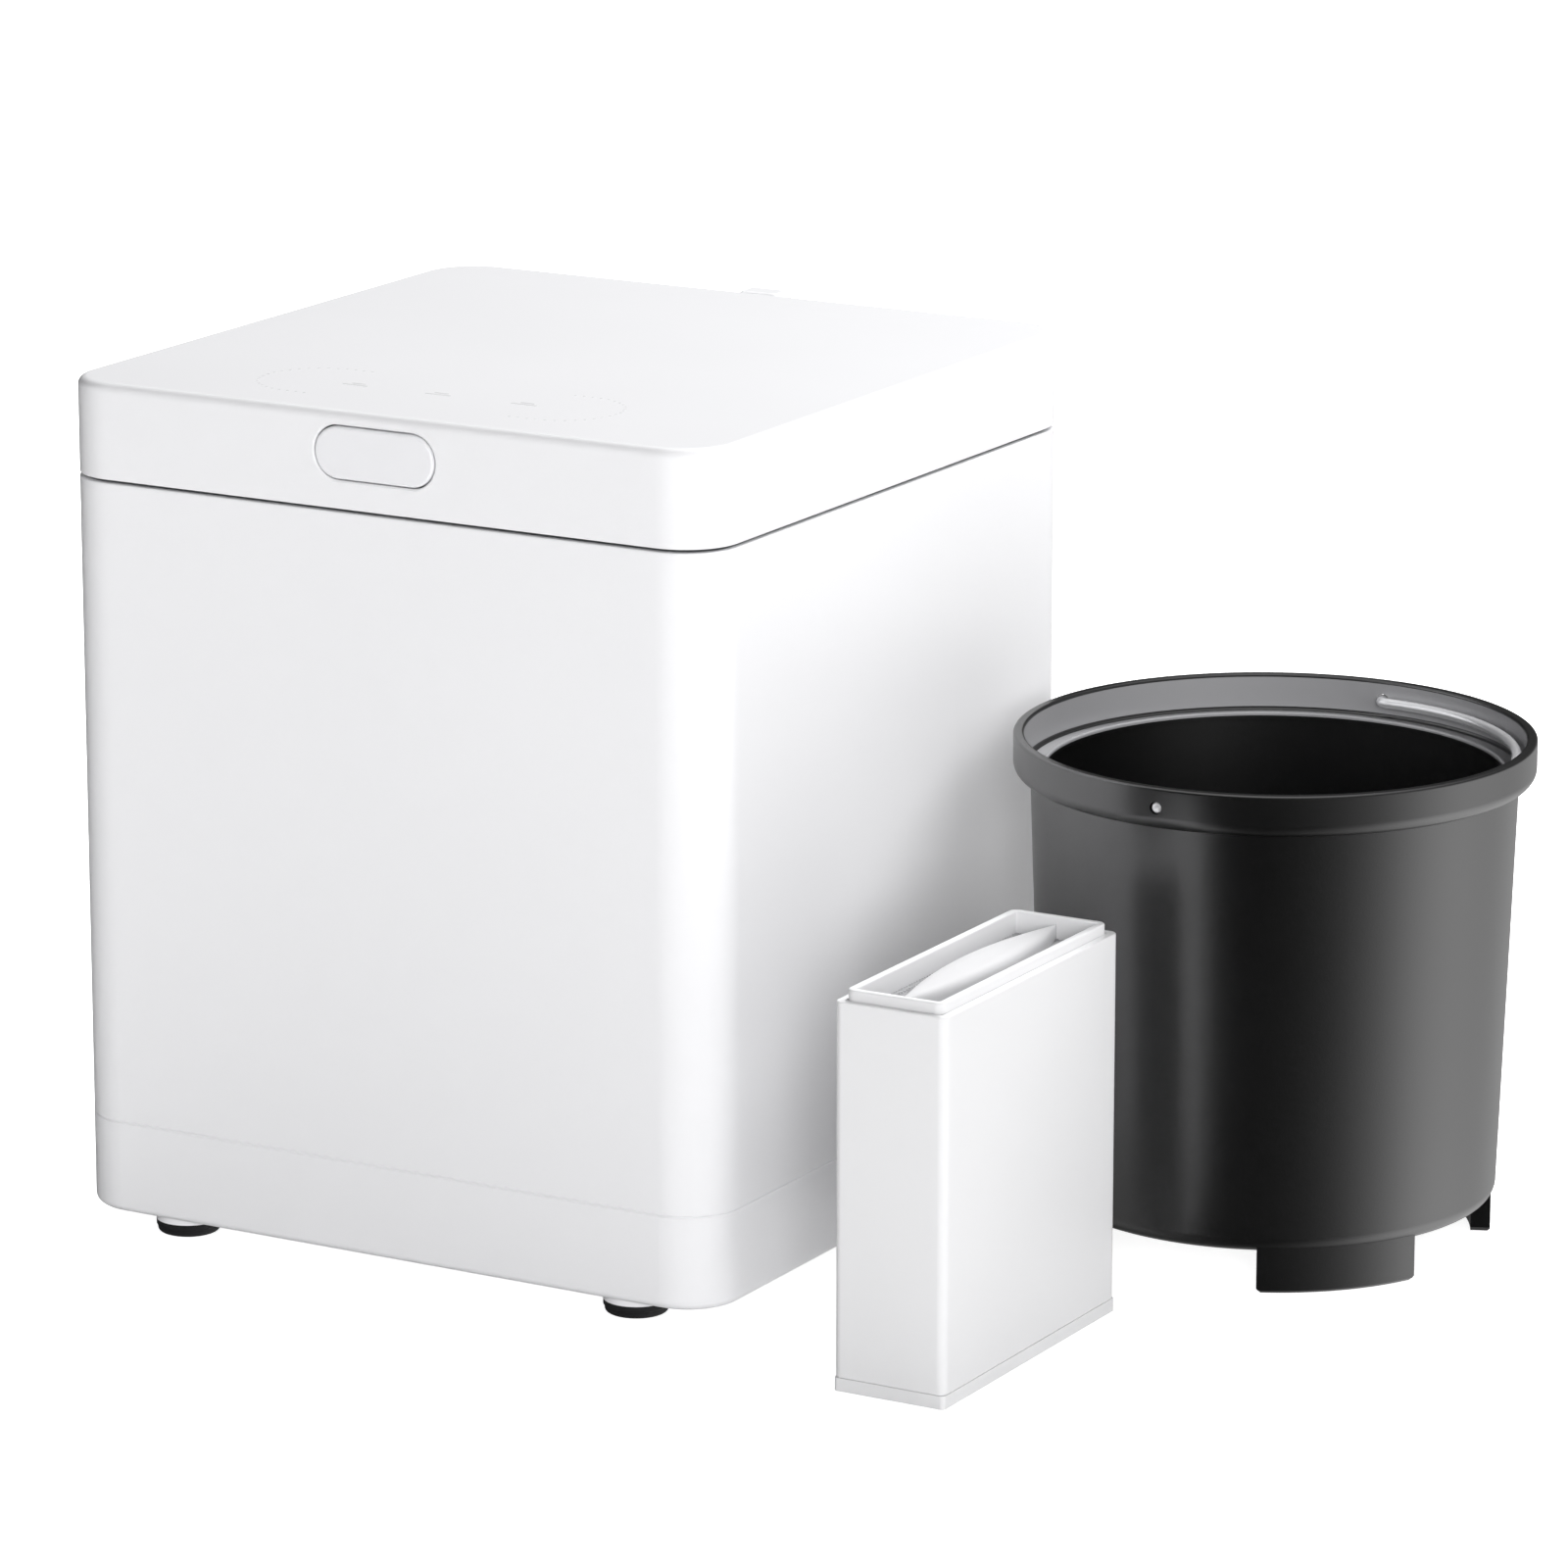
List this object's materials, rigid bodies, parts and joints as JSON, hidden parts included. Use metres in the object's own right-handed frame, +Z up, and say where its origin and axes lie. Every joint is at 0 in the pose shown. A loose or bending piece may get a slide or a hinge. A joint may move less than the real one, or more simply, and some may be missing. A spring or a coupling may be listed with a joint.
{
  "type": "electric food waste composter",
  "caption": "Worktop food waste composter with a hinged lid, a lift-out stirring bucket with a folding wire bail, and an odour filter cartridge with a pinch grip.",
  "frame": {"origin": "bottom centre of the bounding box of the machine, bucket and cartridge as they stand together", "axes": "+X from the machine towards the bucket and cartridge, +Y from the button to the hinge, +Z up"},
  "size_m": [0.492, 0.35, 0.328],
  "materials": {
    "white_shell": "semi-gloss moulded",
    "white_button": "satin moulded",
    "grey_plastic": "fine spark texture",
    "rubber": "matt",
    "seal_rubber": "silicone",
    "steel": "zinc plated or stainless",
    "liner_steel": "drawn sheet",
    "cast_alloy": "cast",
    "element": "heat tinted",
    "sensor": "moulded",
    "felt": "needled felt",
    "bronze": "sintered",
    "motor_black": "satin",
    "board": "lacquered laminate",
    "dark_plastic": "moulded",
    "gear_steel": "sintered",
    "bucket_coat": "dark non-stick coat",
    "wire": "polished",
    "white_filter": "satin moulded",
    "carbon": "pellets"
  },
  "bodies": {
    "housing": {"base_pan": "white_shell", "base_posts": "white_shell", "foot_front_left": "rubber", "foot_front_right": "rubber", "foot_back_left": "rubber", "foot_back_right": "rubber", "foot_screws": "steel", "outer_shell": "white_shell", "deck": "grey_plastic", "deck_screws": "steel", "well_liner": "liner_steel", "heater_plate": "cast_alloy", "heating_element": "element", "temperature_sensor": "sensor", "insulation_sleeve": "felt", "gear_plate": "steel", "gearbox_cover": "grey_plastic", "gearbox_screws": "steel", "drive_bush": "bronze", "idler_pin": "steel", "motor_case": "motor_black", "main_board": "board", "filter_bay": "grey_plastic", "fan_duct": "grey_plastic", "fan_frame": "dark_plastic", "exhaust_grille": "white_shell", "fan_screws": "steel", "power_inlet": "dark_plastic", "hinge_bracket": "white_shell", "hinge_screws": "steel"},
    "lid": {"lid_cover": "white_shell", "lid_liner": "grey_plastic", "lid_seal": "seal_rubber", "touch_board": "board", "hinge_pin": "steel", "lid_screws": "steel"},
    "button": {"button_cap": "white_button", "latch_hook": "grey_plastic", "button_spring": "steel"},
    "motor": {"motor_rotor": "steel"},
    "idler": {"idler_gear": "gear_steel"},
    "drive": {"drive_gear": "gear_steel", "drive_shaft": "steel"},
    "fan": {"fan_rotor": "dark_plastic"},
    "bucket": {"bucket_pot": "bucket_coat", "bucket_collar": "bucket_coat", "bucket_foot": "bucket_coat", "bucket_bush": "bronze", "breaker_bars": "steel"},
    "bail": {"bail": "wire"},
    "agitator": {"agitator_shaft": "steel", "agitator_blades": "cast_alloy", "agitator_nut": "steel", "agitator_coupling": "dark_plastic"},
    "filter": {"filter_case": "white_filter", "filter_cap": "white_filter", "filter_frame": "white_filter", "filter_mesh": "white_filter", "filter_grip": "white_filter", "carbon_block": "carbon"}
  },
  "joints": [
    {"name": "lid_hinge", "type": "hinge", "parent": "housing", "child": "lid", "pos_m": [-0.106, 0.136, 0.291], "axis": [-1, 0, 0], "range_deg": [0, 95]},
    {"name": "button_press", "type": "slide", "parent": "lid", "child": "button", "axis": [0, 1, 0], "range_m": [0, 0.003], "stiffness_N_per_m": 400, "springref_m": -0.002, "deforming": ["button_spring"]},
    {"name": "drive_spin", "type": "hinge", "parent": "housing", "child": "drive", "pos_m": [-0.106, -0.031, 0.075], "axis": [0, 0, 1], "continuous": true},
    {"name": "idler_spin", "type": "hinge", "parent": "housing", "child": "idler", "pos_m": [-0.151, -0.031, 0.071], "axis": [0, 0, 1], "continuous": true},
    {"name": "motor_spin", "type": "hinge", "parent": "housing", "child": "motor", "pos_m": [-0.151, -0.001, 0.067], "axis": [0, 0, 1], "continuous": true},
    {"name": "fan_spin", "type": "hinge", "parent": "housing", "child": "fan", "pos_m": [-0.106, 0.118, 0.1], "axis": [0, 1, 0], "continuous": true},
    {"name": "bucket_lift", "type": "slide", "parent": "housing", "child": "bucket", "axis": [0, 0, 1], "range_m": [0, 0.2]},
    {"name": "bail_swing", "type": "hinge", "parent": "bucket", "child": "bail", "pos_m": [0.148, 0.077, 0.1855], "axis": [0, -1, 0], "range_deg": [0, 180]},
    {"name": "agitator_spin", "type": "hinge", "parent": "bucket", "child": "agitator", "pos_m": [0.148, 0.077, 0.03], "axis": [0, 0, 1], "continuous": true},
    {"name": "filter_lift", "type": "slide", "parent": "housing", "child": "filter", "axis": [0, 0, 1], "range_m": [0, 0.16]}
  ],
  "couplings": [
    {"joint": "idler_spin", "follows": "motor_spin", "ratio": -0.25},
    {"joint": "drive_spin", "follows": "motor_spin", "ratio": 0.05}
  ]
}
